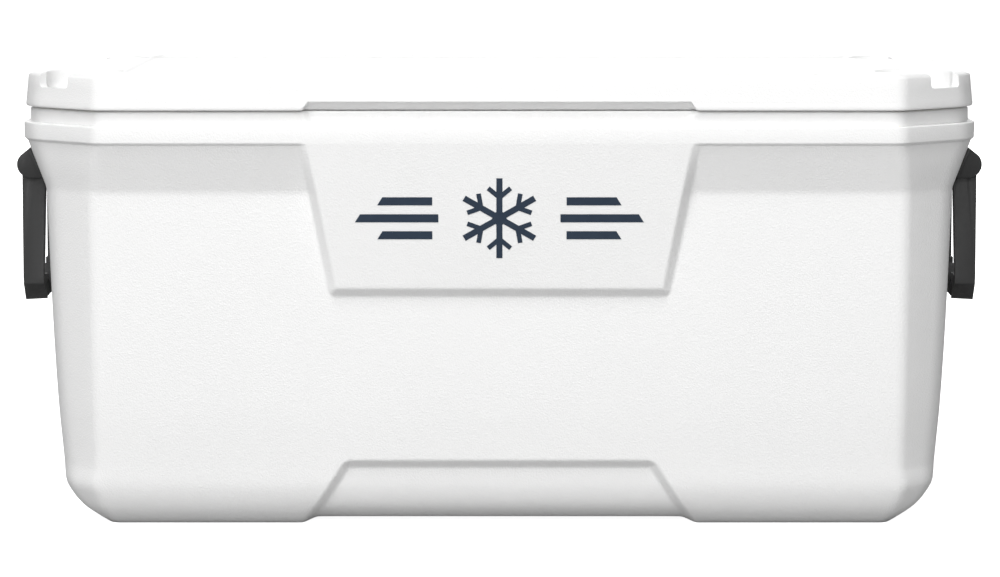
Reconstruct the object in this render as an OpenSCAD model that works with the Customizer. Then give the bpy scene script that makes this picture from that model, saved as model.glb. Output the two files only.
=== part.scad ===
// Large hard chest cooler: foam-filled double-wall chest, hinged lid with four cup holders,
// two swing handles and a recessed drain. Millimetres, +Z up.
// The origin is the middle of the footprint, on the surface that the chest stands on.
// The front faces -Y and the drain is in the +X end.

/* [Chest] */
// Length of the chest over its rim
rim_len = 954; // [952:1:956]
// Depth of the chest over its rim, front to back
rim_dep = 455; // [445:1:475]
// Height of the top of the neck, where the lid closes
neck_top_z = 417.4; // [417:0.1:417.7]
// Height of the top of the rim flange
rim_top_z = 402; // [400:0.5:403]
// Height of the bottom of the rim flange
rim_bottom_z = 385.5; // [384:0.5:387]
// Height where the flared band meets the main wall
flare_bottom_z = 336; // [334:0.5:338]
// How far the flared band recedes under the rim, front and back
flare_in = 21; // [19:0.5:23]
// How far the flared band recedes under the rim at the ends
flare_end_in = 23; // [22:0.5:24]
// How far the neck stands back from the rim
neck_in = 6; // [5:0.1:6.5]
// Thickness of the outer skin
skin_t = 3; // [2.5:0.1:3.5]

/* [Front panel] */
// Half width of the raised panel at the rim
panel_top_w = 197.7; // [180:0.1:205]
// Half width of the raised panel at its foot
panel_foot_w = 168.2; // [150:0.1:175]
// Height of the foot of the raised panel
panel_foot_z = 232.8; // [215:0.1:245]
// How far the foot of the panel stands out of the wall
panel_proud = 8; // [6:0.5:10]
// Width of the bevel round the panel
panel_bevel = 8.5; // [5:0.5:10]

/* [Toe recess] */
// Height of the recess at the foot of the front and back walls
toe_top_z = 67.5; // [60:0.5:75]
// Half width of the recess at its top
toe_top_w = 154; // [145:1:165]
// Half width of the recess at the floor
toe_floor_w = 196.6; // [188:0.1:200]
// Depth of the recess
toe_in = 8; // [6:0.5:10]
// Height of the underside between the two end feet
arch_h = 5.2; // [4.5:0.1:7]

/* [Tub] */
// Half length of the mouth of the tub
mouth_x = 433; // [428:1:434]
// Half depth of the mouth of the tub
mouth_y = 185; // [181:1:186]
// Half length of the floor of the tub
floor_x = 407; // [403:1:408]
// Half depth of the floor of the tub
floor_y = 159; // [155:1:160]
// Height of the floor of the tub
floor_z = 36; // [34:1:38]
// Thickness of the tub wall
liner_t = 2.5; // [2:0.1:2.6]

/* [Lid] */
// Height of the underside of the lid
lid_bottom_z = 418; // [417.8:0.1:418.5]
// Height of the top of the lid
lid_top_z = 453.5; // [452:0.5:456]
// Half length of the lid at its widest
lid_x = 475; // [474:0.1:476]
// Half depth of the lid at its widest
lid_y = 226; // [225.5:0.1:226.5]
// Depth of the shallow seat panel in the lid
seat_in = 2.5; // [1.5:0.5:3]
// Radius of a cup holder
cup_r = 38; // [34:0.5:38.5]
// Depth of a cup holder
cup_deep = 18; // [14:1:19]
// Width of the notch from a cup holder through the corner
notch_w = 44; // [30:1:46]
// Depth of the plug under the lid
plug_deep = 13; // [10:1:16]
// Gap between the plug and the mouth of the tub
plug_gap = 6; // [5.5:0.5:8]

/* [Handles] */
// Distance of a handle pivot from the middle of the chest
pivot_x = 473.4; // [473.2:0.1:473.6]
// Height of the handle pivots
pivot_z = 354.4; // [354:0.1:355]
// Radius of the nose of a pivot bracket
nose_r = 13.3; // [12.5:0.1:13.5]
// Width of a handle arm near its pivot, seen from the front
arm_w = 22.9; // [21.5:0.1:23]
// Thickness of a handle arm, along the depth of the chest
arm_t = 16; // [12:0.5:16]
// Distance of the outer face of an arm from the middle
arm_out_y = 118; // [114:0.5:119]
// Height of the underside of the hanging cross bar
bar_bottom_z = 219.4; // [217:0.1:225]
// Radius of a pivot pin
pin_r = 3; // [2.5:0.1:3.4]

/* [Hinges] */
// Distance of each hinge from the middle of the chest
hinge_x = 250; // [200:5:300]
// Length of a hinge leaf
leaf_len = 60; // [54:1:62]
// Radius of a hinge knuckle
knuckle_r = 6; // [5.5:0.1:6.2]
// Radius of a hinge pin
hinge_pin_r = 2.5; // [2:0.1:2.8]

/* [Drain] */
// Height of the middle of the drain
drain_z = 54; // [54:1:58]
// Radius of the pocket round the drain
drain_pocket_r = 30; // [28:0.5:31]
// Radius of the drain bore
drain_bore_r = 7; // [6:0.5:7.5]

/* [Hidden] */
$fn = 64;

white = [0.94, 0.94, 0.94];
dark = [0.20, 0.20, 0.20];
steel = [0.70, 0.71, 0.72];
foam_cream = [0.93, 0.88, 0.70];
navy = [0.10, 0.19, 0.28];
EPS = 0.01;

// Plan of a corner: a 45 degree facet, then a short steeper facet that is this much longer
// than it is wide, before the end wall.
soft_ratio = 2.4;
// A 45 degree facet loses this share of an inset at each end.
facet_loss = 2 - sqrt(2);
half_x = rim_len / 2;
half_y = rim_dep / 2;

// Sections of the chest from the floor up:
// [height, half length, half depth, corner facet, soft facet, way the height moves as skins inset]
wall_x = half_x - flare_end_in;
wall_y = half_y - flare_in;
CHEST = [
    [0, wall_x - 61, wall_y - 48, 9, 3, 1],
    [5, wall_x - 53, wall_y - 40.5, 13, 4, 1],
    [17.5, wall_x - 33.7, wall_y - 28, 24, 7, 0],
    [30, wall_x - 22.8, wall_y - 21.5, 31, 8, 0],
    [42, wall_x - 16.6, wall_y - 18, 34, 8.5, 0],
    [61, wall_x - 14.8, wall_y - 15.8, 39, 9, 0],
    [122, wall_x - 9.5, wall_y - 9.8, 44, 9, 0],
    [203, wall_x - 5, wall_y - 5.2, 48, 9, 0],
    [flare_bottom_z, wall_x, wall_y, 52, 9, 0],
    [rim_bottom_z, half_x - 1.5, half_y - 1.5, 79, 13, 0],
    [rim_bottom_z + 2, half_x, half_y, 80, 13, 0],
    [rim_top_z - 1.5, half_x, half_y, 80, 13, -1],
    [rim_top_z, half_x - 1.5, half_y - 1.5, 79, 13, -1],
    [rim_top_z + EPS, half_x - neck_in, half_y - neck_in, 77, 12, -1],
    [neck_top_z, half_x - neck_in - 0.5, half_y - neck_in - 0.5, 77, 12, 0]
];
// Sections of the space inside the tub
TUB = [
    [floor_z, floor_x - 7, floor_y - 7, 30, 8, 0],
    [floor_z + 6, floor_x, floor_y, 34, 9, 0],
    [flare_bottom_z, mouth_x - 5, mouth_y - 5, 42, 10, 0],
    [neck_top_z, mouth_x, mouth_y, 46, 10, 0]
];
// Sections of the lid
LID = [
    [lid_bottom_z, lid_x - 1.4, lid_y - 1.4, 77.5, 13, 0],
    [lid_bottom_z + 1.8, lid_x, lid_y, 78.5, 13, 0],
    [lid_top_z - 2.5, lid_x - 2.9, lid_y - 2.3, 76, 13, -1],
    [lid_top_z, lid_x - 5.4, lid_y - 4.8, 74.5, 13, -1]
];

// Slope of the flared band away from upright
flare_angle = atan((flare_end_in - 1.5) / (rim_bottom_z - flare_bottom_z));
// Distance of the end wall from the middle, at a height on the flared band
function flare_x(z) = wall_x + (z - flare_bottom_z) * tan(flare_angle);

// Corners of one section, counter-clockwise seen from above, inset by g
function corner(s, g, sx, sy) =
    let (x = s[1] - g, y = s[2] - g, c = s[3] - facet_loss * g, e = s[4], up = s[0] + s[5] * g)
    [
        [sx * x, sy * (y - (c - e) - soft_ratio * e), up],
        [sx * (x - e), sy * (y - (c - e)), up],
        [sx * (x - c), sy * y, up]
    ];
function reversed(list) = [for (i = [len(list) - 1:-1:0]) list[i]];
function ring(s, g) = concat(
    corner(s, g, 1, 1), reversed(corner(s, g, -1, 1)),
    corner(s, g, -1, -1), reversed(corner(s, g, 1, -1))
);
RING_N = 12;

// Solid through a list of sections, each inset by g
module loft(sections, g = 0) {
    last = len(sections) - 1;
    polyhedron(
        points = [for (s = sections) each ring(s, g)],
        faces = concat(
            [[for (i = [0:RING_N - 1]) i]],
            [[for (i = [RING_N - 1:-1:0]) last * RING_N + i]],
            [for (k = [0:last - 1], i = [0:RING_N - 1])
                let (j = (i + 1) % RING_N)
                [k * RING_N + i, (k + 1) * RING_N + i, (k + 1) * RING_N + j, k * RING_N + j]]
        )
    );
}

// Solid between two trapezoids that face each other along Y. Each is
// [y, low height, half width there, top height, half width there]; a is in front of b.
module wedge(a, b) {
    function quad(t) = [[-t[2], t[0], t[1]], [t[2], t[0], t[1]], [t[4], t[0], t[3]], [-t[4], t[0], t[3]]];
    polyhedron(
        points = concat(quad(a), quad(b)),
        faces = [[3, 2, 1, 0], [4, 5, 6, 7], [0, 1, 5, 4], [1, 2, 6, 5], [2, 3, 7, 6], [3, 0, 4, 7]]
    );
}

// Bar along Y with a drawn cross section in X and Z, mirrored to one end of the chest
module along_y(y0, y1) {
    translate([0, y1, 0]) rotate([90, 0, 0]) linear_extrude(y1 - y0) children();
}

module both_y() {
    children();
    mirror([0, 1, 0]) children();
}

module end_side(side) {
    if (side < 0) mirror([1, 0, 0]) children();
    else children();
}

// ---- chest ----------------------------------------------------------------------------------

// Raised panel on the front wall, inset by g
panel_depth_at_foot = wall_y - 4 + panel_proud;
module front_panel(g) {
    wedge(
        [-panel_depth_at_foot + g, panel_foot_z + panel_bevel + g, panel_foot_w - panel_bevel - g,
            rim_bottom_z + 1, panel_top_w - panel_bevel - g],
        [-(wall_y - 8), panel_foot_z + g, panel_foot_w - g, rim_bottom_z + 1, panel_top_w - g]
    );
    panel_rise(g);
}

// The panel face leans out from its foot to the rim
module panel_rise(g) {
    foot_z = panel_foot_z + panel_bevel + g;
    top_z = rim_bottom_z + 1;
    foot_w = panel_foot_w - panel_bevel - g;
    top_w = panel_top_w - panel_bevel - g;
    foot_y = -panel_depth_at_foot + g;
    polyhedron(
        points = [
            [-foot_w, foot_y, foot_z], [foot_w, foot_y, foot_z],
            [top_w, -half_y + g, top_z], [-top_w, -half_y + g, top_z],
            [top_w + panel_bevel, -(wall_y - 8), top_z], [-top_w - panel_bevel, -(wall_y - 8), top_z]
        ],
        faces = [[3, 2, 1, 0], [2, 3, 5, 4], [1, 2, 4], [3, 0, 5], [0, 1, 4, 5]]
    );
}

// Recess at the foot of the front wall: its sides lean in as it gets deeper, by these shares
toe_side_lean = 0.75;
toe_top_lean = 0.875;
toe_wall_y = wall_y - 15;
toe_floor_y = wall_y - 47.5;
function toe_top(y) = toe_top_z - toe_top_lean * (y + toe_wall_y);
function toe_w(y, z) =
    let (down = (toe_top_z - z) / toe_top_z,
        run = toe_floor_w - toe_top_w + toe_side_lean * (toe_wall_y - toe_floor_y))
    toe_top_w - toe_side_lean * (y + toe_wall_y) + run * down;

module toe_cut(g) {
    y_out = -half_y - 3;
    y_in = -toe_floor_y + 18;
    difference() {
        wedge(
            [y_out, -1, toe_w(y_out, -1) + g, toe_top(y_out) + g, toe_w(y_out, toe_top(y_out)) + g],
            [y_in, -1, toe_w(y_in, -1) + g, toe_top(y_in) + g, toe_w(y_in, toe_top(y_in)) + g]
        );
        loft(CHEST, toe_in + g);
    }
}

// Shallow arch of the underside between the end feet
arch_slope = 15;
module arch_cut(g) {
    wide = toe_floor_w + g;
    wedge(
        [-toe_floor_y - 5, -1, wide + arch_slope / arch_h, arch_h + g, wide - arch_slope],
        [toe_floor_y + 5, -1, wide + arch_slope / arch_h, arch_h + g, wide - arch_slope]
    );
}

// Finger space in the neck below the lid's grip notch
finger_top_w = 193.3;
finger_foot_w = 183.7;
finger_in = 5;
finger_bevel = 3;
module finger_cut(g) {
    front = -half_y - 1;
    back = -(half_y - neck_in - finger_in) + g;
    wedge(
        [front, rim_top_z - g, finger_foot_w + 2 + g, neck_top_z + 1, finger_top_w + 2 + g],
        [back, rim_top_z - g, finger_foot_w - finger_bevel + g, neck_top_z + 1,
            finger_top_w - finger_bevel + g]
    );
}

// Pocket behind each hinge, through the rim flange and the neck
hinge_y = 221;
hinge_z = 410;
leaf_y = 214;
leaf_t = 4;
pocket_play = 3;
hinge_pocket_z = 382;
module hinge_pockets(z0, z1, g) {
    for (side = [-1, 1])
        translate([side * hinge_x - leaf_len / 2 - pocket_play - g, leaf_y - g, z0])
            cube([leaf_len + 2 * (pocket_play + g), 20 + g, z1 - z0]);
}

// Pocket round the drain
drain_floor_x = 421;
module drain_pocket(g) {
    translate([drain_floor_x - g, 0, drain_z]) rotate([0, 90, 0]) cylinder(r = drain_pocket_r + g, h = 40);
}

// The chest as a full block whose faces lie g inside the outer skin
module chest_block(g) {
    difference() {
        union() {
            loft(CHEST, g);
            front_panel(g);
        }
        both_y() toe_cut(g);
        arch_cut(g);
        finger_cut(g);
        hinge_pockets(hinge_pocket_z - g, neck_top_z + 2, g);
        drain_pocket(g);
    }
}

// Screws of the handle brackets stand square to the flared band
bracket_y0 = 74;
bracket_y1 = 126;
bracket_screw_y = 84;
screw_shank_r = 2;
screw_head_r = 4.2;
screw_head_h = 2.2;
bracket_plate_t = 3;
BRACKET_SCREW_Z = [352, 366];
module at_bracket_screws() {
    for (sx = [-1, 1], sy = [-1, 1], z = BRACKET_SCREW_Z)
        end_side(sx) translate([flare_x(z), sy * bracket_screw_y, z])
            rotate([0, 90 + flare_angle, 0]) children();
}

// Screws of the hinge leaves, along Y
hinge_screw_off = 20;
body_screw_z = 394.5;
lid_screw_z = 432.5;
module at_hinge_screws(z) {
    for (side = [-1, 1], off = [-hinge_screw_off, hinge_screw_off])
        translate([side * hinge_x + off, leaf_y, z]) rotate([-90, 0, 0]) children();
}

screw_in = 10;
module screw_shank(r) {
    translate([0, 0, -screw_in]) cylinder(r = r, h = screw_in + 6);
}

spout_r = 11;
module drain_hole(r) {
    translate([390, 0, drain_z]) rotate([0, 90, 0]) cylinder(r = r, h = 60);
}

module outer_shell() {
    color(white) difference() {
        chest_block(0);
        chest_space();
        at_bracket_screws() screw_shank(screw_shank_r);
        at_hinge_screws(body_screw_z) screw_shank(screw_shank_r);
        drain_hole(spout_r + 0.1);
    }
}

// Everything inside the outer skin, open at the top
module chest_space() {
    chest_block(skin_t);
    translate([0, 0, neck_top_z - 1]) linear_extrude(4)
        projection_of_neck();
}

// Plan of the opening in the top of the neck
module projection_of_neck() {
    top = CHEST[len(CHEST) - 1];
    difference() {
        polygon([for (p = ring(top, skin_t)) [p[0], p[1]]]);
        for (side = [-1, 1])
            translate([side * hinge_x - leaf_len / 2 - pocket_play - skin_t, leaf_y - skin_t])
                square([leaf_len + 2 * (pocket_play + skin_t), 40]);
        translate([0, -(half_y - neck_in - finger_in) + skin_t - 20])
            square([2 * (finger_top_w + skin_t), 40], center = true);
    }
}

module inner_liner() {
    flange_z = neck_top_z - liner_t;
    color(white) difference() {
        union() {
            intersection() {
                chest_space();
                translate([-half_x, -half_y, flange_z]) cube([rim_len, rim_dep, liner_t]);
            }
            tub_outer();
        }
        loft(TUB);
        translate([0, 0, neck_top_z - EPS]) linear_extrude(2)
            polygon([for (p = ring(TUB[len(TUB) - 1], 0)) [p[0], p[1]]]);
        drain_hole(spout_r + 0.1);
    }
}

// Outside of the tub wall
module tub_outer() {
    top = len(TUB) - 1;
    loft([for (i = [0:top]) i == 0 ? [TUB[i][0] - liner_t, TUB[i][1], TUB[i][2], TUB[i][3], TUB[i][4], 0]
        : TUB[i]], -liner_t);
}

module foam_core() {
    flange_z = neck_top_z - liner_t;
    color(foam_cream) difference() {
        intersection() {
            chest_block(skin_t);
            translate([-half_x, -half_y, 0]) cube([rim_len, rim_dep, flange_z]);
        }
        tub_outer();
        at_bracket_screws() screw_shank(screw_shank_r);
        at_hinge_screws(body_screw_z) screw_shank(screw_shank_r);
        drain_hole(spout_r + 0.1);
    }
}

// ---- lid ------------------------------------------------------------------------------------

cup_x = 413;
cup_y = 151;
cup_floor_z = lid_top_z - cup_deep;
notch_floor_z = lid_top_z - 15.5;
seat_x = 371;
seat_y = 204;
seat_corner = 12;
grip_top_z = 426.3;
grip_top_w = 186.8;
grip_foot_w = 193.3;
grip_in = 13;

module cup_holders(g) {
    for (sx = [-1, 1], sy = [-1, 1])
        translate([sx * cup_x, sy * cup_y, 0]) {
            translate([0, 0, cup_floor_z - g]) cylinder(r = cup_r + g, h = 40);
            rotate([0, 0, atan2(sy, sx)]) translate([0, -notch_w / 2 - g, notch_floor_z - g])
                cube([60, notch_w + 2 * g, 40]);
        }
}

module seat_cut(g) {
    loft([
        [lid_top_z - seat_in, seat_x, seat_y, seat_corner, 4, 1],
        [lid_top_z + 5, seat_x + 3, seat_y + 3, seat_corner, 4, 0]
    ], -g);
}

// Scoop under the front edge of the lid: a level ceiling, then a back that slopes to the underside
grip_ceiling = 7;
module grip_cut(g) {
    front = -lid_y - 2;
    low = lid_bottom_z - 2;
    turn_y = -lid_y + grip_ceiling + g;
    wedge(
        [front, low, grip_foot_w + 1 + g, grip_top_z + g, grip_top_w + g],
        [turn_y, low, grip_foot_w + 1 + g, grip_top_z + g, grip_top_w + g]
    );
    wedge(
        [turn_y - EPS, low, grip_foot_w + 1 + g, grip_top_z + g, grip_top_w + g],
        [-lid_y + grip_in + g, low, grip_foot_w + 1 + g, low + 1, grip_foot_w + g]
    );
}

module lid_cuts(g) {
    cup_holders(g);
    seat_cut(g);
    grip_cut(g);
    hinge_pockets(lid_bottom_z - 5, lid_top_z - 7 + g, g);
}

module lid_space() {
    difference() {
        union() {
            loft(LID, skin_t);
            translate([0, 0, lid_bottom_z - 2]) linear_extrude(3)
                polygon([for (p = ring(LID[0], skin_t)) [p[0], p[1]]]);
        }
        lid_cuts(skin_t);
    }
}

module lid_top_shell() {
    color(white) difference() {
        loft(LID);
        lid_cuts(0);
        lid_space();
        at_hinge_screws(lid_screw_z) screw_shank(screw_shank_r);
    }
}

plug_bottom_z = lid_bottom_z - plug_deep;
lid_plate_t = 3;
function plug(z0, z1, g) = [
    [z0, mouth_x - plug_gap - 6, mouth_y - plug_gap - 6, 40, 9, 0],
    [z1, mouth_x - plug_gap, mouth_y - plug_gap, 44, 10, 0]
];

module lid_bottom_shell() {
    plate_top = lid_bottom_z + lid_plate_t;
    color(white) difference() {
        union() {
            intersection() {
                lid_space();
                translate([-half_x, -half_y, lid_bottom_z]) cube([rim_len, rim_dep, lid_plate_t]);
            }
            loft(plug(plug_bottom_z, lid_bottom_z + 1, 0));
        }
        plug_space(plate_top + 1);
    }
}

// Space inside the plug
module plug_space(top_z) {
    loft(plug(plug_bottom_z + lid_plate_t, top_z, 0), lid_plate_t);
}

module lid_foam() {
    plate_top = lid_bottom_z + lid_plate_t;
    color(foam_cream) difference() {
        union() {
            intersection() {
                lid_space();
                translate([-half_x, -half_y, plate_top]) cube([rim_len, rim_dep, 60]);
            }
            intersection() {
                plug_space(plate_top + 1);
                translate([-half_x, -half_y, 0]) cube([rim_len, rim_dep, plate_top + EPS]);
            }
        }
        at_hinge_screws(lid_screw_z) screw_shank(screw_shank_r);
    }
}

// ---- hinges ---------------------------------------------------------------------------------

knuckle_gap = 0.3;
leaf_relief = 0.6;
lid_knuckle = 20;

module hinge_rod(r, x0, x1) {
    translate([x0, hinge_y, hinge_z]) rotate([0, 90, 0]) cylinder(r = r, h = x1 - x0);
}

// One leaf round the middle of a hinge. Its knuckles cover the spans in own, and it is cut
// clear of the other leaf's knuckles at the spans in other.
module hinge_leaf(z0, z1, own, other, bore_r, screw_z) {
    half = leaf_len / 2;
    difference() {
        union() {
            translate([-half, leaf_y, z0]) cube([leaf_len, leaf_t, z1 - z0]);
            for (span = own) hinge_rod(knuckle_r, span[0], span[1]);
        }
        for (span = other) hinge_rod(knuckle_r + 0.6, span[0] - knuckle_gap, span[1] + knuckle_gap);
        hinge_rod(bore_r, -half - 1, half + 1);
        for (off = [-hinge_screw_off, hinge_screw_off])
            translate([off, leaf_y - 1, screw_z]) rotate([-90, 0, 0])
                cylinder(r = screw_shank_r + 0.2, h = 10);
    }
}

BODY_SPANS = [[-leaf_len / 2, -lid_knuckle / 2 - knuckle_gap], [lid_knuckle / 2 + knuckle_gap, leaf_len / 2]];
LID_SPANS = [[-lid_knuckle / 2, lid_knuckle / 2]];

module hinge_body_leaves() {
    color(white) for (side = [-1, 1])
        translate([side * hinge_x, 0, 0])
            hinge_leaf(hinge_pocket_z + 1, hinge_z - 0.5, BODY_SPANS, LID_SPANS, hinge_pin_r, body_screw_z);
}

module hinge_lid_leaves() {
    color(white) for (side = [-1, 1])
        translate([side * hinge_x, 0, 0]) difference() {
            hinge_leaf(hinge_z + 0.5, lid_top_z - 8, LID_SPANS, BODY_SPANS, hinge_pin_r + 0.08, lid_screw_z);
            // Relief where the leaf hangs down into the pocket of the chest
            translate([-leaf_len, leaf_y - 1, hinge_z - 10])
                cube([2 * leaf_len, 1 + leaf_relief, lid_bottom_z + 0.3 - hinge_z + 10]);
        }
}

module hinge_pins() {
    color(steel) for (side = [-1, 1])
        translate([side * hinge_x, 0, 0]) {
            hinge_rod(hinge_pin_r, -leaf_len / 2, leaf_len / 2);
            hinge_rod(hinge_pin_r + 1.5, -leaf_len / 2 - 1.5, -leaf_len / 2);
            hinge_rod(hinge_pin_r + 1.5, leaf_len / 2, leaf_len / 2 + 1.5);
        }
}

// Screw whose head stands on a plate of thickness t
module screw(t) {
    translate([0, 0, -screw_in]) cylinder(r = screw_shank_r, h = screw_in + t);
    difference() {
        translate([0, 0, t]) cylinder(r1 = screw_head_r, r2 = screw_head_r - 1, h = screw_head_h);
        translate([0, 0, t + screw_head_h - 1]) {
            translate([-3, -0.5, 0]) cube([6, 1, 2]);
            translate([-0.5, -3, 0]) cube([1, 6, 2]);
        }
    }
}

module hinge_body_screws() {
    color(steel) at_hinge_screws(body_screw_z) screw(leaf_t);
}

module hinge_lid_screws() {
    color(steel) at_hinge_screws(lid_screw_z) screw(leaf_t);
}

// ---- handles --------------------------------------------------------------------------------

cheek_t = 5.5;
cheek_gap = 0.5;
pin_clear = 0.08;
cheek_top_z = 375.5;
nose_x = 471.5;
nose_z = 358.2;
nose_turn = 42.6;
arm_in_y = arm_out_y - arm_t;

// Side view of a bracket cheek: a round nose whose top runs up to the flared band
module cheek_outline() {
    foot_z = nose_z - nose_r;
    difference() {
        union() {
            translate([nose_x, nose_z]) circle(r = nose_r);
            polygon([
                [flare_x(cheek_top_z), cheek_top_z],
                [nose_x + nose_r * cos(nose_turn), nose_z + nose_r * sin(nose_turn)],
                [nose_x, nose_z], [nose_x, foot_z], [flare_x(foot_z), foot_z]
            ]);
        }
        polygon([[flare_x(335), 335], [flare_x(385), 385], [440, 385], [440, 335]]);
    }
}

plate_low_z = 346;
plate_high_z = 373;
module plate_outline() {
    reach = bracket_plate_t / cos(flare_angle);
    polygon([
        [flare_x(plate_low_z), plate_low_z], [flare_x(plate_low_z) + reach, plate_low_z],
        [flare_x(plate_high_z) + reach, plate_high_z], [flare_x(plate_high_z), plate_high_z]
    ]);
}

// Bracket of the front arm at the +X end, turned to face +Y; the outer cheek hides the pin
module bracket() {
    inner_cheek = arm_in_y - cheek_gap - cheek_t;
    difference() {
        union() {
            along_y(bracket_y0, bracket_y1) plate_outline();
            along_y(arm_out_y + cheek_gap, arm_out_y + cheek_gap + cheek_t) cheek_outline();
            along_y(inner_cheek, inner_cheek + cheek_t) cheek_outline();
        }
        translate([pivot_x, arm_out_y + cheek_gap + 3, pivot_z]) rotate([90, 0, 0])
            cylinder(r = pin_r, h = 60);
        for (z = BRACKET_SCREW_Z)
            translate([flare_x(z), bracket_screw_y, z]) rotate([0, 90 + flare_angle, 0])
                translate([0, 0, -1]) cylinder(r = screw_shank_r + 0.2, h = 8);
    }
}

module placed_bracket(sx, sy) {
    color(dark) end_side(sx) {
        if (sy < 0) mirror([0, 1, 0]) bracket();
        else bracket();
    }
}

module handle_bracket_left_front() { placed_bracket(-1, -1); }
module handle_bracket_left_rear() { placed_bracket(-1, 1); }
module handle_bracket_right_front() { placed_bracket(1, -1); }
module handle_bracket_right_rear() { placed_bracket(1, 1); }

module handle_pivot_pins() {
    head_y = arm_in_y - cheek_gap - cheek_t;
    color(steel) for (sx = [-1, 1], sy = [-1, 1])
        end_side(sx) translate([pivot_x, 0, pivot_z]) rotate([sy > 0 ? -90 : 90, 0, 0]) {
            translate([0, 0, head_y]) cylinder(r = pin_r, h = arm_out_y + cheek_gap + 3 - head_y);
            translate([0, 0, head_y - 2]) cylinder(r = pin_r + 2, h = 2);
        }
}

module handle_bracket_screws() {
    color(steel) at_bracket_screws() screw(bracket_plate_t);
}

arm_x1 = 480.2;
arm_x0 = arm_x1 - arm_w;
arm_taper = 2.9;
bar_x0 = 459.6;
bar_x1 = 480;
bar_h = 26;
bar_mid_x = (bar_x0 + bar_x1) / 2;
bar_mid_z = bar_bottom_z + 11;
bar_r = 8.5;
corner_block = 34;
end_chamfer = 18;
hub_r = arm_x1 - pivot_x;

// Side view of an arm. Near the pivot it narrows, clear of the plate of its bracket.
module arm_outline() {
    foot_z = bar_bottom_z + bar_h - 4;
    translate([pivot_x, pivot_z]) circle(r = hub_r);
    polygon([
        [pivot_x - hub_r, pivot_z], [pivot_x - 11.6, plate_low_z - 1], [arm_x0, plate_low_z - 4.5],
        [arm_x0 + arm_taper, foot_z], [arm_x1, foot_z], [arm_x1, pivot_z]
    ]);
}

// Block that turns an arm into the cross bar, seen from the end of the chest
module corner_outline() {
    y0 = arm_out_y - corner_block;
    top = bar_bottom_z + bar_h;
    polygon([
        [y0, bar_bottom_z], [arm_out_y - end_chamfer, bar_bottom_z],
        [arm_out_y, bar_bottom_z + end_chamfer], [arm_out_y, top], [y0, top]
    ]);
}

// Slanted cut that takes the inner half off the chamfer of a corner block
corner_cut_y = arm_out_y - 4.5;
corner_cut_z = bar_bottom_z + end_chamfer - 4.5;
corner_cut_tilt = 147.9;
corner_cut_turn = 117.6;
module corner_cut() {
    translate([bar_x0 + 1.7, corner_cut_y, corner_cut_z]) rotate([0, corner_cut_tilt, corner_cut_turn])
        translate([-40, -40, 0]) cube([80, 80, 20]);
}

// Swing handle of the +X end
module bail() {
    difference() {
        union() {
            both_y() {
                along_y(arm_in_y, arm_out_y) arm_outline();
                translate([bar_x0, 0, 0]) rotate([90, 0, 90])
                    linear_extrude(bar_x1 - bar_x0) corner_outline();
            }
            along_y(-arm_in_y, arm_in_y) translate([bar_mid_x, bar_mid_z]) circle(r = bar_r);
        }
        both_y() corner_cut();
        along_y(-arm_out_y - 1, arm_out_y + 1) translate([pivot_x, pivot_z]) circle(r = pin_r + pin_clear);
    }
}

grip_half = arm_out_y - corner_block;
grip_round = 8;
grip_swell = 2.4;
module grip_outline() {
    w = bar_x1 - bar_x0 + 2 * grip_swell;
    h = 2 * (bar_mid_z - bar_bottom_z);
    difference() {
        translate([bar_mid_x, bar_mid_z]) hull() for (sx = [-1, 1], sz = [-1, 1])
            translate([sx * (w / 2 - grip_round), sz * (h / 2 - grip_round)])
                circle(r = grip_round, $fn = 32);
        translate([bar_mid_x, bar_mid_z]) circle(r = bar_r);
    }
}

module grip() {
    along_y(-grip_half, grip_half) grip_outline();
}

module handle_bail_left() { color(dark) end_side(-1) bail(); }
module handle_bail_right() { color(dark) bail(); }
module handle_grip_left() { color(dark) end_side(-1) grip(); }
module handle_grip_right() { color(dark) grip(); }

// ---- drain ----------------------------------------------------------------------------------

gasket_t = 1.5;
flange_t = 2.5;
flange_r = 17;
spout_neck_r = 9;
flange_x = drain_floor_x + gasket_t;
spout_end_x = 431.5;
spout_in_x = floor_x - 6;
cap_x0 = flange_x + flange_t + 1.5;
cap_x1 = 435.5;
cap_r = 14;
nut_x = floor_x - 4.7;
nut_r = 14.8;
nut_t = 3.6;

module along_x(x0, x1, r) {
    translate([x0, 0, drain_z]) rotate([0, 90, 0]) cylinder(r = r, h = x1 - x0);
}

module drain_spout() {
    color(white) difference() {
        union() {
            along_x(spout_in_x, flange_x + EPS, spout_r);
            along_x(flange_x, flange_x + flange_t, flange_r);
            along_x(flange_x + flange_t - EPS, spout_end_x, spout_neck_r);
        }
        along_x(spout_in_x - 1, spout_end_x + 1, drain_bore_r);
    }
}

module drain_gasket() {
    color(dark) difference() {
        along_x(drain_floor_x, flange_x, flange_r - 1);
        along_x(drain_floor_x - 1, flange_x + 1, spout_r);
    }
}

module drain_nut() {
    flats = 6;
    color(white) difference() {
        translate([nut_x, 0, drain_z]) rotate([0, 90, 0]) rotate([0, 0, 180 / flats])
            cylinder(r = nut_r, h = nut_t, $fn = flats);
        along_x(nut_x - 1, nut_x + nut_t + 1, spout_r);
    }
}

module drain_cap() {
    ribs = 16;
    seal_space = 1.6;
    color(white) difference() {
        union() {
            along_x(cap_x0, cap_x1, cap_r);
            for (i = [0:ribs - 1])
                translate([cap_x0, 0, drain_z]) rotate([i * 360 / ribs, 0, 0])
                    translate([0, cap_r - 0.5, -1]) cube([cap_x1 - cap_x0 - 1, 1.3, 2]);
        }
        along_x(cap_x0 - 1, spout_end_x + seal_space, spout_neck_r + 0.3);
    }
}

module drain_cap_seal() {
    color(dark) difference() {
        along_x(spout_end_x + 0.3, spout_end_x + 1.6, spout_neck_r + 0.3);
        along_x(spout_end_x, spout_end_x + 2, drain_bore_r);
    }
}

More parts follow.
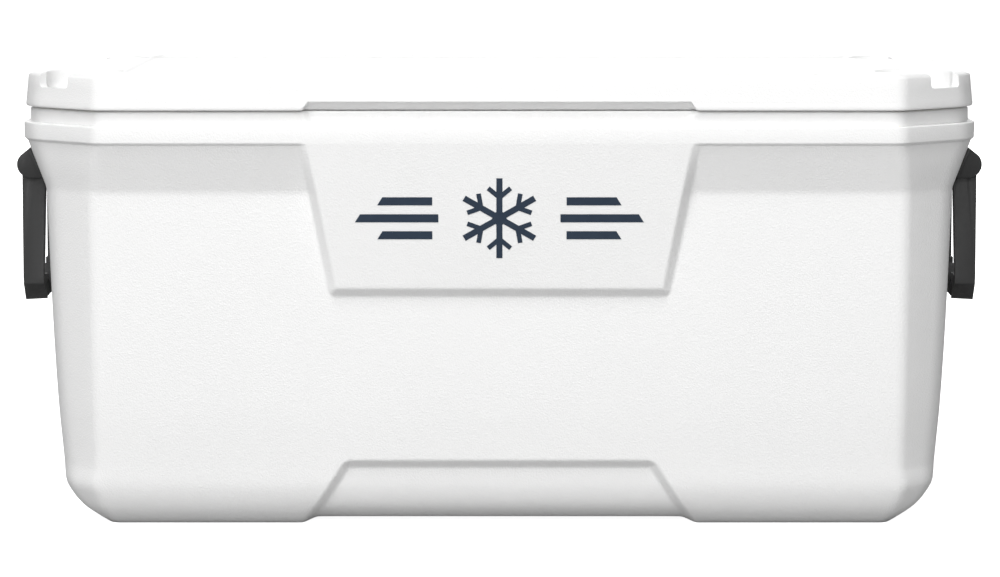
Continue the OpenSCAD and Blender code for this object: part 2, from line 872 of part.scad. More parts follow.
// Ring round the spout with a strap that runs beside the cap
module drain_tether() {
    ring_x = flange_x + flange_t;
    ring_t = 1;
    strap_w = 5;
    strap_end = 24;
    color(dark) difference() {
        union() {
            along_x(ring_x, ring_x + ring_t, spout_neck_r + 3);
            translate([ring_x, -strap_w / 2, drain_z]) cube([ring_t, strap_w, strap_end]);
            translate([ring_x, -strap_w / 2, drain_z + cap_r + 3]) cube([5, strap_w, 1.5]);
        }
        along_x(ring_x - 1, ring_x + ring_t + 1, spout_neck_r + 0.2);
    }
}

// ---- printed mark ---------------------------------------------------------------------------

// A six-armed frost star between two bars, on the face of the raised panel
mark_z = 312;
mark_star_r = 40;
mark_arm_w = 6;
mark_t = 0.4;
mark_bar_in = 60;
mark_bar_out = 142;

module mark_arm() {
    translate([-mark_arm_w / 2, 4]) square([mark_arm_w, mark_star_r - 4]);
    for (turn = [-50, 50])
        translate([0, mark_star_r * 0.52]) rotate(turn) translate([-mark_arm_w / 2.6, 0])
            square([mark_arm_w / 1.3, mark_star_r * 0.36]);
}

// Bar beside the star; the rows above and below the middle one are shorter
mark_row = 17;
mark_bar_half = 4;
module mark_bar(side, row) {
    near = side * (mark_bar_in + 6 * abs(row));
    far = side * (mark_bar_out - 22 * abs(row));
    cut = side * 5;
    polygon([
        [near, row * mark_row - mark_bar_half], [far, row * mark_row - mark_bar_half],
        [far - cut, row * mark_row + mark_bar_half], [near, row * mark_row + mark_bar_half]
    ]);
}

module mark_outline() {
    for (i = [0:5]) rotate(i * 60) mark_arm();
    circle(r = 7);
    for (side = [-1, 1], row = [-1, 0, 1]) mark_bar(side, row);
}

module front_decal() {
    foot_z = panel_foot_z + panel_bevel;
    lean = atan((half_y - panel_depth_at_foot) / (rim_bottom_z + 1 - foot_z));
    face_y = -panel_depth_at_foot - (mark_z - foot_z) * tan(lean);
    color(navy) translate([0, face_y, mark_z]) rotate([90 + lean, 0, 0]) linear_extrude(mark_t)
        mark_outline();
}

outer_shell();
foam_core();
inner_liner();
lid_top_shell();
lid_foam();
lid_bottom_shell();
hinge_body_leaves();
hinge_lid_leaves();
hinge_pins();
hinge_body_screws();
hinge_lid_screws();
handle_bracket_left_front();
handle_bracket_left_rear();
handle_bracket_right_front();
handle_bracket_right_rear();
handle_pivot_pins();
handle_bracket_screws();
handle_bail_left();
handle_bail_right();
handle_grip_left();
handle_grip_right();
drain_spout();
drain_gasket();
drain_nut();
drain_cap();
drain_cap_seal();
drain_tether();
front_decal();
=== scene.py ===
import math

import bmesh
import bpy
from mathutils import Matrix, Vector


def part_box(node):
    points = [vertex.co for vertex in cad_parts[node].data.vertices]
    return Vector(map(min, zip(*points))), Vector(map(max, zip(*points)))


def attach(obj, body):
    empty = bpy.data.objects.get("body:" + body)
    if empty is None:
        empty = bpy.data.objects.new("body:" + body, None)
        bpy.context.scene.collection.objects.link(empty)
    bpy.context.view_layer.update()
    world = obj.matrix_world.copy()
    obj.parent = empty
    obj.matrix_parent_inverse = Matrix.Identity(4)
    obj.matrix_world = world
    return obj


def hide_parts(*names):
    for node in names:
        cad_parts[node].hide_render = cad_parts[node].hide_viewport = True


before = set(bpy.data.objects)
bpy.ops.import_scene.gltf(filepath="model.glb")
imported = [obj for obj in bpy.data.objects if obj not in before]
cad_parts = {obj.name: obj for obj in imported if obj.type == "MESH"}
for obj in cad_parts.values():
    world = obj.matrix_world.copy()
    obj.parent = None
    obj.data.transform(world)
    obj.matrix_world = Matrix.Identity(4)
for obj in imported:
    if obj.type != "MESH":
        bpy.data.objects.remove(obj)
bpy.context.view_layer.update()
scene = bpy.context.scene
MM = 0.001

# ---- main sizes, in millimetres. They follow the CAD, but the rim's lower edge is 0.5 higher. ---
HALF_X, HALF_Y = 477.0, 227.5
WALL_X, WALL_Y = 454.0, 206.5
NECK_TOP, RIM_TOP, RIM_BOTTOM, FLARE_BOTTOM = 417.4, 402.0, 386.0, 336.0
NECK_IN = 6.0
LID_BOTTOM, LID_TOP = 418.0, 453.5
LID_X, LID_Y = 475.0, 226.0
SKIN = 3.0
SOFT_RATIO = 2.4
DRAIN_Z = 54.0


# ---- small helpers --------------------------------------------------------------------------
def lerp(a, b, t):
    return a + (b - a) * t


def along(a, b, t):
    return tuple(lerp(p, q, t) for p, q in zip(a, b))


def bezier(a, b, c, n):
    """n + 1 points of the quadratic curve from a to c that b pulls on."""
    out = []
    for i in range(n + 1):
        t = i / n
        out.append(tuple((1 - t) ** 2 * p + 2 * t * (1 - t) * q + t * t * r for p, q, r in zip(a, b, c)))
    return out


def soft_step(d, width, radius):
    """0 below 0 and 1 above width, straight in between, with both bends rounded by radius."""
    def bend(t):
        if t <= -radius:
            return 0.0
        if t >= radius:
            return t
        return (t + radius) ** 2 / (4 * radius)
    return (bend(d) - bend(d - width)) / width


def corner_distance(a, b, radius):
    """Distance inside a corner whose two sides are a and b away, with the corner rounded."""
    if a < radius and b < radius:
        return radius - math.hypot(radius - a, radius - b)
    return min(a, b)


def make_object(name, verts, faces, indices=None):
    mesh = bpy.data.meshes.new(name)
    mesh.from_pydata([(x * MM, y * MM, z * MM) for x, y, z in verts], [], faces)
    if indices:
        mesh.polygons.foreach_set("material_index", indices)
    obj = bpy.data.objects.new(name, mesh)
    scene.collection.objects.link(obj)
    return obj


def smooth(obj, angle=32):
    obj.data.polygons.foreach_set("use_smooth", [True] * len(obj.data.polygons))
    obj.data.set_sharp_from_angle(angle=math.radians(angle))


def bake(obj):
    """Applies the modifiers of obj to its mesh."""
    deps = bpy.context.evaluated_depsgraph_get()
    mesh = bpy.data.meshes.new_from_object(obj.evaluated_get(deps))
    old = obj.data
    obj.modifiers.clear()
    obj.data = mesh
    bpy.data.meshes.remove(old)


def carve(obj, cutters):
    """Cuts each closed cutter out of obj and removes the cutters."""
    for cutter in cutters:
        mod = obj.modifiers.new("cut", "BOOLEAN")
        mod.operation = "DIFFERENCE"
        mod.solver = "MANIFOLD"
        mod.object = cutter
        bake(obj)
        bpy.data.objects.remove(cutter)


def thicken(obj, thickness, offset):
    mod = obj.modifiers.new("skin", "SOLIDIFY")
    mod.thickness = thickness * MM
    mod.offset = offset
    mod.use_even_offset = False
    bake(obj)


def drop_caps(obj):
    """Deletes the closing faces, which carry material index 1, and heals the leftovers of the cuts."""
    bm = bmesh.new()
    bm.from_mesh(obj.data)
    caps = [f for f in bm.faces if f.material_index == 1]
    bmesh.ops.delete(bm, geom=caps, context="FACES")
    bmesh.ops.remove_doubles(bm, verts=bm.verts, dist=0.00001)
    bm.to_mesh(obj.data)
    bm.free()


def finish_piece(obj, material, body, slot, *nodes):
    obj.data.materials.clear()
    obj.data.materials.append(material)
    obj.data.polygons.foreach_set("material_index", [0] * len(obj.data.polygons))
    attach(obj, body)
    if nodes:
        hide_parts(*nodes)
    return obj


# ---- materials ------------------------------------------------------------------------------
CELL_SMOOTHNESS = 0.4


class Nodes:
    """A short way to write a node material."""

    def __init__(self, name, **sockets):
        self.mat = bpy.data.materials.new(name)
        self.mat.use_nodes = True
        self.tree = self.mat.node_tree
        self.tree.nodes.clear()
        self.shader = self.add("ShaderNodeBsdfPrincipled", **sockets)
        out = self.add("ShaderNodeOutputMaterial")
        self.link(self.shader, "BSDF", out, "Surface")
        self.coords = self.add("ShaderNodeTexCoord")

    def add(self, kind, **sockets):
        n = self.tree.nodes.new(kind)
        for key, value in sockets.items():
            n.inputs[key.replace("_", " ")].default_value = value
        return n

    def link(self, a, out, b, inp):
        self.tree.links.new(a.outputs[out], b.inputs[inp])

    def noise(self, scale, detail=2.0, rough=0.5):
        n = self.add("ShaderNodeTexNoise", Scale=scale, Detail=detail, Roughness=rough)
        self.link(self.coords, "Object", n, "Vector")
        return n

    def cells(self, scale):
        n = self.add("ShaderNodeTexVoronoi")
        n.feature = "SMOOTH_F1"
        n.inputs["Scale"].default_value = scale
        n.inputs["Smoothness"].default_value = CELL_SMOOTHNESS
        self.link(self.coords, "Object", n, "Vector")
        return n

    def ramp(self, source, out, stops):
        n = self.tree.nodes.new("ShaderNodeValToRGB")
        while len(n.color_ramp.elements) < len(stops):
            n.color_ramp.elements.new(0.5)
        for e, (at, colour) in zip(n.color_ramp.elements, stops):
            e.position = at
            e.color = (*colour, 1)
        self.link(source, out, n, "Fac")
        return n

    def range(self, source, out, low, high, from_low=0.0, from_high=1.0):
        n = self.add("ShaderNodeMapRange")
        n.inputs["From Min"].default_value = from_low
        n.inputs["From Max"].default_value = from_high
        n.inputs["To Min"].default_value = low
        n.inputs["To Max"].default_value = high
        self.link(source, out, n, "Value")
        return n

    def maths(self, op, a, out_a, b, out_b=None):
        n = self.tree.nodes.new("ShaderNodeMath")
        n.operation = op
        self.tree.links.new(a.outputs[out_a], n.inputs[0])
        if out_b is None:
            n.inputs[1].default_value = b
        else:
            self.tree.links.new(b.outputs[out_b], n.inputs[1])
        return n

    def bump(self, source, out, strength, distance, below=None):
        n = self.add("ShaderNodeBump", Strength=strength, Distance=distance)
        self.link(source, out, n, "Height")
        if below:
            self.link(below, "Normal", n, "Normal")
        return n

    def to_shader(self, node, out, socket):
        self.link(node, out, self.shader, socket)


def moulded(name, colour, spread, grain, grain_depth, rough, rough_spread):
    """Moulded plastic: a pebbled grain of that cell size in metres, faint cloudiness, uneven gloss."""
    m = Nodes(name, IOR=1.5, Roughness=rough)
    cloud = m.noise(9.0, 4.0, 0.55)
    low = tuple(c * (1 - spread) for c in colour)
    high = tuple(min(1.0, c * (1 + spread)) for c in colour)
    m.to_shader(m.ramp(cloud, "Fac", [(0.3, low), (0.7, high)]), "Color", "Base Color")
    mottle = m.noise(160.0, 3.0, 0.6)
    gloss = m.range(mottle, "Fac", rough - rough_spread, rough + rough_spread, 0.25, 0.75)
    m.to_shader(gloss, "Result", "Roughness")
    pebble = m.cells(1 / grain)
    fine = m.noise(2.2 / grain, 3.0, 0.6)
    mix = m.maths("MULTIPLY", fine, "Fac", 0.6)
    height = m.maths("ADD", pebble, "Distance", mix, "Value")
    grainy = m.bump(height, "Value", 1.0, grain_depth)
    wavy = m.bump(m.noise(14.0, 1.0, 0.4), "Fac", 0.25, 0.0006, grainy)
    m.to_shader(wavy, "Normal", "Normal")
    return m.mat


white_shell = moulded("white_moulded", (0.83, 0.83, 0.828), 0.006, 0.0017, 0.00020, 0.46, 0.05)
white_smooth = moulded("white_smooth", (0.82, 0.82, 0.812), 0.008, 0.0020, 0.000018, 0.30, 0.05)
white_trim = moulded("white_trim", (0.80, 0.80, 0.79), 0.008, 0.0009, 0.00003, 0.40, 0.05)
dark_plastic = moulded("dark_moulded", (0.017, 0.017, 0.0172), 0.10, 0.0008, 0.00006, 0.50, 0.06)
grip_rubber = moulded("dark_grip", (0.026, 0.026, 0.027), 0.12, 0.0005, 0.00008, 0.66, 0.06)
seal_rubber = moulded("black_rubber", (0.022, 0.022, 0.022), 0.12, 0.0006, 0.00004, 0.60, 0.06)


def brushed_steel():
    m = Nodes("stainless", IOR=2.0, Metallic=1.0)
    m.to_shader(m.ramp(m.noise(300.0, 3.0), "Fac", [(0.3, (0.50, 0.51, 0.52)), (0.7, (0.62, 0.63, 0.64))]),
                "Color", "Base Color")
    m.to_shader(m.range(m.noise(900.0, 2.0), "Fac", 0.22, 0.40, 0.25, 0.75), "Result", "Roughness")
    m.to_shader(m.bump(m.noise(2500.0, 2.0), "Fac", 0.4, 0.00003), "Normal", "Normal")
    return m.mat


def foam():
    m = Nodes("insulation_foam", IOR=1.4, Roughness=0.9)
    m.to_shader(m.ramp(m.noise(120.0, 4.0), "Fac", [(0.3, (0.74, 0.66, 0.43)), (0.7, (0.84, 0.77, 0.54))]),
                "Color", "Base Color")
    m.to_shader(m.bump(m.cells(700.0), "Distance", 0.8, 0.0004), "Normal", "Normal")
    return m.mat


def printed_navy():
    m = Nodes("printed_navy", IOR=1.5)
    ink = m.ramp(m.noise(60.0, 3.0), "Fac", [(0.3, (0.009, 0.022, 0.045)), (0.7, (0.013, 0.028, 0.053))])
    m.to_shader(ink, "Color", "Base Color")
    m.to_shader(m.range(m.noise(220.0, 2.0), "Fac", 0.34, 0.44, 0.25, 0.75), "Result", "Roughness")
    m.to_shader(m.bump(m.cells(900.0), "Distance", 1.0, 0.00004), "Normal", "Normal")
    return m.mat


steel = brushed_steel()
foam_mat = foam()
navy = printed_navy()

# ---- plan outline of the chest and the lid --------------------------------------------------
END_STEPS = [0.04, 0.2, 0.4, 0.6, 0.8]
# Columns on each side of a feature edge, measured from it towards the middle
NEAR = [round(-15 + 1.25 * i, 2) for i in range(25)]
INNER_STEPS = [0.0, 0.14, 0.28, 0.42, 0.56, 0.70, 0.82, 0.92]
OUTER_STEPS = [0.06, 0.16, 0.30, 0.44, 0.58, 0.72, 0.86]


def quarter(hx, hy, c, e, line, fillet=8.0):
    """One corner of a plan outline, from the middle of the end to the middle of the long side.
    line is the place of the feature edge on the long side, where the columns crowd."""
    a = (hx, hy - (c - e) - SOFT_RATIO * e)
    b = (hx - e, hy - (c - e))
    k = (hx - c, hy)
    ab, bk = math.dist(a, b), math.dist(b, k)
    ta = min(12.0, 0.45 * ab)
    tb = min(12.0, 0.45 * ab, 0.45 * bk)
    tk = min(fillet, 0.45 * bk)
    a0, k1 = (hx, a[1] - ta), (k[0] - tk, hy)
    pts = [(hx, a0[1] * f) for f in END_STEPS]
    pts += bezier(a0, a, along(a, b, ta / ab), 4)
    pts += bezier(along(b, a, tb / ab), b, along(b, k, tb / bk), 4)
    pts += bezier(along(k, b, tk / bk), k, k1, 6)
    far = line + 15.0
    pts += [(lerp(k1[0], far, f), hy) for f in OUTER_STEPS]
    pts += [(line - d, hy) for d in NEAR]
    pts += [((line - 15.0) * f, hy) for f in reversed(INNER_STEPS)]
    return pts


def half_outline(section, line, fillet=8.0):
    """Points with y >= 0 from the -X end round to the +X end."""
    q = quarter(*section, line, fillet)
    return [(-x, y) for x, y in q[:-1]] + [(x, y) for x, y in reversed(q)]


class Skin:
    """Rings of points from the bottom up, joined by quads. Each row is
    (height, (half x, half y, corner facet, soft facet), place of the feature edge)."""

    def __init__(self, name, rows, front=None, back=None, rise=None, fillet=8.0):
        self.name = name
        self.verts, self.faces, self.index = [], [], []
        for z, section, line in rows:
            half = half_outline(section, line, fillet)
            self.n = len(half)
            for x, y in half:
                self.verts.append((x, -y + (front(x, z, y) if front else 0), z + (rise(x, z) if rise else 0)))
            for x, y in reversed(half):
                self.verts.append((x, y - (back(x, z, y) if back else 0), z + (rise(x, z) if rise else 0)))
        self.rows = len(rows)
        full = 2 * self.n
        for j in range(self.rows - 1):
            for i in range(full):
                k = (i + 1) % full
                self.add_face((j * full + i, j * full + k, (j + 1) * full + k, (j + 1) * full + i))

    def add_face(self, face, index=0):
        self.faces.append(face)
        self.index.append(index)

    def ladder(self, row, up, index=0):
        """Closes one ring with quads from the front to the back."""
        full = 2 * self.n
        base = row * full
        for i in range(self.n - 1):
            face = (base + i, base + i + 1, base + full - 2 - i, base + full - 1 - i)
            self.add_face(face if up else face[::-1], index)

    def build(self):
        return make_object(self.name, self.verts, self.faces, self.index)


def rounded_rows(controls, line_at):
    """Rows through control sections [z, hx, hy, c, e, bend, steps]; each bend is rounded over that
    length on both sides."""
    out = []
    for i, k in enumerate(controls):
        p, bend, steps = tuple(k[:5]), k[5], k[6]
        if bend <= 0 or i in (0, len(controls) - 1):
            out.append(p)
            continue
        before, after = tuple(controls[i - 1][:5]), tuple(controls[i + 1][:5])
        lb, la = math.dist(before[:3:2], p[:3:2]), math.dist(after[:3:2], p[:3:2])
        out += bezier(along(p, before, min(0.5, bend / lb)), p, along(p, after, min(0.5, bend / la)), steps)
    return [(r[0], r[1:], line_at(r[0])) for r in out]


def table_line(table):
    """Straight interpolation in a list of (height, value)."""
    def at(z):
        if z <= table[0][0]:
            return table[0][1]
        for (z0, v0), (z1, v1) in zip(table, table[1:]):
            if z <= z1:
                return lerp(v0, v1, (z - z0) / (z1 - z0))
        return table[-1][1]
    return at


# ---- chest skin -----------------------------------------------------------------------------
BODY = [
    [0.0, WALL_X - 61, WALL_Y - 48, 9, 3],
    [5.0, WALL_X - 53, WALL_Y - 40.5, 13, 4],
    [17.5, WALL_X - 33.7, WALL_Y - 28, 24, 7],
    [30.0, WALL_X - 22.8, WALL_Y - 21.5, 31, 8],
    [42.0, WALL_X - 16.6, WALL_Y - 18, 34, 8.5],
    [61.0, WALL_X - 14.8, WALL_Y - 15.8, 39, 9],
    [122.0, WALL_X - 9.5, WALL_Y - 9.8, 44, 9],
    [203.0, WALL_X - 5, WALL_Y - 5.2, 48, 9],
    [336.0, WALL_X, WALL_Y, 52, 9],
]


def smooth_section(z):
    """Smooth curve through the BODY sections at a height."""
    n = len(BODY)
    k = max(i for i in range(n - 1) if BODY[i][0] <= z or i == 0)
    z0, z1 = BODY[k][0], BODY[k + 1][0]
    t = (z - z0) / (z1 - z0)
    out = []
    for f in range(1, 5):
        def slope(i):
            if i == 0 or i == n - 1:
                j = min(i, n - 2)
                return (BODY[j + 1][f] - BODY[j][f]) / (BODY[j + 1][0] - BODY[j][0])
            a = (BODY[i][f] - BODY[i - 1][f]) / (BODY[i][0] - BODY[i - 1][0])
            b = (BODY[i + 1][f] - BODY[i][f]) / (BODY[i + 1][0] - BODY[i][0])
            return 2 * a * b / (a + b) if a * b > 0 else 0.0
        m0, m1 = slope(k) * (z1 - z0), slope(k + 1) * (z1 - z0)
        p0, p1 = BODY[k][f], BODY[k + 1][f]
        out.append((2 * t**3 - 3 * t**2 + 1) * p0 + (t**3 - 2 * t**2 + t) * m0
                   + (-2 * t**3 + 3 * t**2) * p1 + (t**3 - t**2) * m1)
    return tuple(out)


PANEL_TOP_W, PANEL_FOOT_W, PANEL_FOOT_Z = 197.7, 168.2, 232.8
PANEL_BEVEL, PANEL_PROUD = 8.5, 8.0
PANEL_FACE_Z = PANEL_FOOT_Z + PANEL_BEVEL
PANEL_FACE_Y = WALL_Y - 4 + PANEL_PROUD
PANEL_RUN_Z = 386.5
TOE_TOP_Z, TOE_TOP_W, TOE_FLOOR_W, TOE_IN, TOE_BEVEL = 67.5, 154.0, 196.6, 8.0, 7.5
ARCH_H, ARCH_SLOPE, ARCH_FADE = 5.2, 15.0, 26.0
FINGER_TOP_W, FINGER_FOOT_W, FINGER_IN, FINGER_LEAN = 193.3, 183.7, 5.0, -1.0

body_line = table_line([
    (0, TOE_FLOOR_W), (TOE_TOP_Z, TOE_TOP_W), (PANEL_FOOT_Z, PANEL_FOOT_W), (RIM_BOTTOM, PANEL_TOP_W),
    (RIM_TOP, FINGER_FOOT_W), (NECK_TOP, FINGER_TOP_W),
])
toe_line = table_line([(0, TOE_FLOOR_W), (TOE_TOP_Z, TOE_TOP_W), (TOE_TOP_Z + 20, TOE_TOP_W - 13)])
panel_line = table_line([
    (PANEL_FOOT_Z - 20, PANEL_FOOT_W - 4), (PANEL_FOOT_Z, PANEL_FOOT_W), (RIM_BOTTOM, PANEL_TOP_W),
])
finger_line = table_line([(RIM_TOP, FINGER_FOOT_W), (NECK_TOP, FINGER_TOP_W)])


def toe_depth(x, z):
    side = (toe_line(z) - abs(x)) * math.cos(math.atan2(TOE_FLOOR_W - TOE_TOP_W, TOE_TOP_Z))
    d = corner_distance(side, TOE_TOP_Z - z, 6.0)
    return TOE_IN * soft_step(d, TOE_BEVEL, 1.8)


def panel_depth(x, z, wall):
    if z < PANEL_FOOT_Z - 4 or z > PANEL_RUN_Z:
        return 0.0
    face = lerp(PANEL_FACE_Y, HALF_Y, (z - PANEL_FACE_Z) / (PANEL_RUN_Z - PANEL_FACE_Z))
    d = corner_distance(panel_line(z) - abs(x), z - PANEL_FOOT_Z, 7.0)
    return max(0.0, face - wall) * soft_step(d, PANEL_BEVEL, 1.5)


def body_front(x, z, wall):
    out = 0.0
    if z < TOE_TOP_Z + 4:
        out += toe_depth(x, z)
    out -= panel_depth(x, z, wall)
    if z > RIM_TOP - 0.001:
        fade = soft_step(z - RIM_TOP, 0.8, 0.3)
        deep = FINGER_IN + FINGER_LEAN * (NECK_TOP - z) / (NECK_TOP - RIM_TOP)
        out += fade * deep * soft_step(finger_line(z) + 1 - abs(x), 5.0, 0.6)
    return out


def body_back(x, z, wall):
    return toe_depth(x, z) if z < TOE_TOP_Z + 4 else 0.0


def body_rise(x, z):
    if z > ARCH_FADE:
        return 0.0
    return ARCH_H * soft_step(TOE_FLOOR_W + 1 - abs(x), ARCH_SLOPE, 3.0) * (1 - z / ARCH_FADE) ** 1.5


heights = [0, 0.5, 1.3, 2.4, 4, 6, 8.5, 11, 14, 17.5, 21, 25, 29, 33, 38, 43, 48, 53]
heights += [56 + 1.2 * i for i in range(13)]
heights += [76, 82, 90, 100, 110, 120, 130, 140, 150, 160, 170, 180, 190, 200, 210, 220, 226]
heights += [230 + 1.2 * i for i in range(12)]
heights += [248, 256, 266, 278, 290, 302, 314, 324]
rows = [(z, smooth_section(z), body_line(z)) for z in heights]
WALL_PLAN, RIM_PLAN = (WALL_X, WALL_Y, 52, 9), (HALF_X, HALF_Y, 80, 13)
LIP_IN, LIP_Z = 2.8, RIM_BOTTOM - 2.4
NECK_X, NECK_Y = HALF_X - NECK_IN, HALF_Y - NECK_IN
top_part = [
    [324.0, *smooth_section(324.0), 0, 1],
    [FLARE_BOTTOM, *WALL_PLAN, 4.0, 5],
    [352.0, *along(WALL_PLAN, RIM_PLAN, 0.29), 0, 1],
    [369.0, *along(WALL_PLAN, RIM_PLAN, 0.60), 0, 1],
    [LIP_Z, HALF_X - LIP_IN, HALF_Y - LIP_IN, 79, 13, 0.7, 3],
    [RIM_BOTTOM, HALF_X, HALF_Y, 80, 13, 1.1, 4],
    [RIM_TOP, HALF_X, HALF_Y, 80, 13, 1.2, 4],
    [RIM_TOP, NECK_X - 0.9, NECK_Y - 1.9, 77, 12, 0.15, 2],
    [RIM_TOP + 1.3, NECK_X - 0.2, NECK_Y - 1.6, 77, 12, 0.3, 2],
    [RIM_TOP + 5, NECK_X - 0.25, NECK_Y - 1.4, 77, 12, 0, 1],
    [RIM_TOP + 10, NECK_X - 0.35, NECK_Y - 1.0, 77, 12, 0, 1],
    [NECK_TOP - 1.8, NECK_X - 0.5, NECK_Y - 0.5, 77, 12, 0.5, 2],
    [NECK_TOP, NECK_X - 2.4, NECK_Y - 2.4, 76.5, 12, 0.4, 2],
    [NECK_TOP, NECK_X - SKIN, NECK_Y - SKIN, 76, 12, 0, 1],
]
rows += rounded_rows(top_part, body_line)[1:]
chest = Skin("chest_shell", rows, body_front, body_back, body_rise)
chest.ladder(0, False)
chest.ladder(chest.rows - 1, True, 1)
chest_obj = chest.build()


def block_cutter(x0, x1, y0, y1, z0, z1):
    v = [(x, y, z) for z in (z0, z1) for y in (y0, y1) for x in (x0, x1)]
    f = [(0, 2, 3, 1), (4, 5, 7, 6), (0, 1, 5, 4), (2, 6, 7, 3), (0, 4, 6, 2), (1, 3, 7, 5)]
    return make_object("cutter", v, f)


def lathe_cutter(profile, centre, axis="z", steps=64):
    """Closed solid of revolution of (radius, height) points, both ends on the axis."""
    verts, faces = [], []
    inner = profile[1:-1]
    for r, h in inner:
        for i in range(steps):
            t = 2 * math.pi * i / steps
            verts.append((r * math.cos(t), r * math.sin(t), h))
    n = len(inner)
    for j in range(n - 1):
        for i in range(steps):
            k = (i + 1) % steps
            faces.append((j * steps + i, j * steps + k, (j + 1) * steps + k, (j + 1) * steps + i))
    low, high = len(verts), len(verts) + 1
    verts += [(0, 0, profile[0][1]), (0, 0, profile[-1][1])]
    for i in range(steps):
        k = (i + 1) % steps
        faces.append((low, k, i))
        faces.append((high, (n - 1) * steps + i, (n - 1) * steps + k))
    if axis == "x":
        verts = [(z, x, y) for x, y, z in verts]
    verts = [(x + centre[0], y + centre[1], z + centre[2]) for x, y, z in verts]
    return make_object("cutter", verts, faces)


LEAF_HALF, HINGE_X, POCKET_PLAY, LEAF_Y = 30.0, 250.0, 3.0, 214.0


def hinge_cutters(z0, z1):
    half = LEAF_HALF + POCKET_PLAY
    return [block_cutter(s * HINGE_X - half, s * HINGE_X + half, LEAF_Y, 240, z0, z1) for s in (-1, 1)]


cutters = hinge_cutters(382, 430)
drain_pocket = [(0, 421), (28, 421), (29.4, 421.4), (30, 422.5), (30, 433.4), (30.8, 435.2),
                (33, 437.6), (38, 442), (38, 460), (0, 460)]
cutters.append(lathe_cutter(drain_pocket, (0, 0, DRAIN_Z), "x"))
carve(chest_obj, cutters)
drop_caps(chest_obj)
thicken(chest_obj, SKIN, -1)
smooth(chest_obj)
finish_piece(chest_obj, white_shell, "chest", "shell_white", "outer_shell")

# ---- lid skin -------------------------------------------------------------------------------
GRIP_TOP_Z, GRIP_TOP_W, GRIP_FOOT_W, GRIP_IN = 426.3, 186.8, 193.3, 13.0
SEAT_IN, SEAT_X, SEAT_Y = 2.5, 371.0, 204.0
CUP_X, CUP_Y, CUP_R, CUP_FLOOR = 413.0, 151.0, 38.0, 435.5
NOTCH_FLOOR, NOTCH_HALF = 438.0, 22.0
GRIP_CEILING, LIP_DROP = 7.0, 0.9
lid_line = table_line([(LID_BOTTOM, GRIP_FOOT_W), (GRIP_TOP_Z, GRIP_TOP_W), (LID_TOP, GRIP_TOP_W)])


def lid_front(x, z, wall):
    """Scoop under the front edge: a level ceiling, then a back that slopes to the underside."""
    if z > GRIP_TOP_Z + 0.5:
        return 0.0
    down = GRIP_TOP_Z - z
    deep = GRIP_CEILING * soft_step(down + 0.45, LIP_DROP, 0.25)
    deep += (GRIP_IN - GRIP_CEILING) * max(0.0, down - 0.5) / (GRIP_TOP_Z - LID_BOTTOM - 0.5)
    return deep * soft_step(lid_line(z) + 1 - abs(x), 2.6, 0.6)


lid_controls = [
    [LID_BOTTOM, LID_X - 6, LID_Y - 6, 75, 12, 0, 1],
    [LID_BOTTOM, LID_X - 0.2, LID_Y - 0.2, 78.3, 13, 1.6, 4],
    [LID_BOTTOM + 3.2, LID_X, LID_Y, 78.5, 13, 0, 1],
    [LID_BOTTOM + 5.0, LID_X - 0.3, LID_Y - 0.2, 78.3, 13, 0, 1],
    [GRIP_TOP_Z - 2.0, LID_X - 0.5, LID_Y - 0.4, 78, 13, 0, 1],
    [GRIP_TOP_Z - 0.8, LID_X - 0.5, LID_Y - 0.45, 78, 13, 0, 1],
    [GRIP_TOP_Z - 0.4, LID_X - 0.6, LID_Y - 0.5, 78, 13, 0, 1],
    [GRIP_TOP_Z - 0.1, LID_X - 0.6, LID_Y - 0.5, 78, 13, 0, 1],
    [GRIP_TOP_Z + 0.3, LID_X - 0.65, LID_Y - 0.52, 78, 13, 0, 1],
    [GRIP_TOP_Z + 0.8, LID_X - 0.7, LID_Y - 0.55, 78, 13, 0, 1],
    [GRIP_TOP_Z + 1.8, LID_X - 0.8, LID_Y - 0.65, 78, 13, 0, 1],
    [438.0, LID_X - 1.8, LID_Y - 1.4, 77, 13, 0, 1],
    [LID_TOP, LID_X - 3.2, LID_Y - 2.6, 76, 13, 5.0, 8],
    [LID_TOP, SEAT_X + 12, SEAT_Y + 9, 26, 6, 0, 1],
    [LID_TOP, SEAT_X + 2.5, SEAT_Y + 2.5, 14, 4, 1.6, 3],
    [LID_TOP - SEAT_IN, SEAT_X, SEAT_Y, 12, 4, 1.6, 3],
    [LID_TOP - SEAT_IN, SEAT_X - 8, SEAT_Y - 8, 10, 4, 0, 1],
]
lid = Skin("lid_shell", rounded_rows(lid_controls, lid_line), lid_front)
lid.ladder(0, False, 1)
lid.ladder(lid.rows - 1, True)
lid_obj = lid.build()


def cup_cutter(sx, sy):
    profile = [(0, CUP_FLOOR), (31, CUP_FLOOR), (34.5, CUP_FLOOR + 0.7), (37, CUP_FLOOR + 2.7),
               (CUP_R, CUP_FLOOR + 5.5), (CUP_R, LID_TOP - 3), (CUP_R + 0.6, LID_TOP - 1.4),
               (CUP_R + 1.8, LID_TOP - 0.3), (CUP_R + 3.2, LID_TOP + 0.05), (CUP_R + 3.2, 470), (0, 470)]
    return lathe_cutter(profile, (sx * CUP_X, sy * CUP_Y, 0), steps=96)


